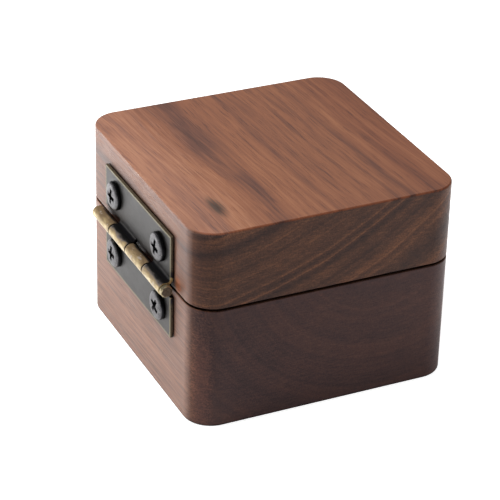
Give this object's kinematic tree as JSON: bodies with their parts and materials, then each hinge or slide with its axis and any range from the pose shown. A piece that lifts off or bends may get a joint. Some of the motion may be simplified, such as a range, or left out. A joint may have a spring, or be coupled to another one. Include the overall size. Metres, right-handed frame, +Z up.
{
  "type": "ring box",
  "caption": "Square walnut ring box with rounded corners, a lid on a surface-mounted back hinge, and a velvet ring insert.",
  "frame": {"origin": "under the middle of the box, on the face it stands on", "axes": "+Z up; the hinge is on the back at +Y and the lid lifts from the front at -Y; left is -X, the hinge pin runs along X"},
  "size_m": [0.05, 0.0529, 0.038],
  "materials": {
    "walnut": "satin oiled walnut",
    "bronze": "antique bronze over brass, rubbed bright on edges and knuckles",
    "pin_brass": "worn antique brass",
    "screw_black": "blackened steel, satin",
    "nickel": "nickel plate",
    "card": "uncoated grey-brown card",
    "foam": "open-cell polyurethane foam",
    "velvet": "short-pile velvet, champagne"
  },
  "bodies": {
    "base": {"base_box": "walnut", "hinge_leaf_base": "bronze", "hinge_pin": "pin_brass", "hinge_screw_base_left": "screw_black", "hinge_screw_base_right": "screw_black", "rim_magnet_base_left": "nickel", "rim_magnet_base_right": "nickel", "insert_board": "card", "ring_foam_front": "foam", "ring_foam_rear": "foam", "ring_velvet_front": "velvet", "ring_velvet_rear": "velvet"},
    "lid": {"lid_box": "walnut", "hinge_leaf_lid": "bronze", "hinge_screw_lid_left": "screw_black", "hinge_screw_lid_right": "screw_black", "rim_magnet_lid_left": "nickel", "rim_magnet_lid_right": "nickel", "lid_pad_board": "card", "lid_pad_foam": "foam", "lid_pad_velvet": "velvet"}
  },
  "joints": [
    {"name": "lid_hinge", "type": "hinge", "parent": "base", "child": "lid", "pos_m": [0, 0.0267, 0.0236], "axis": [-1, 0, 0], "range_deg": [0, 175]}
  ]
}
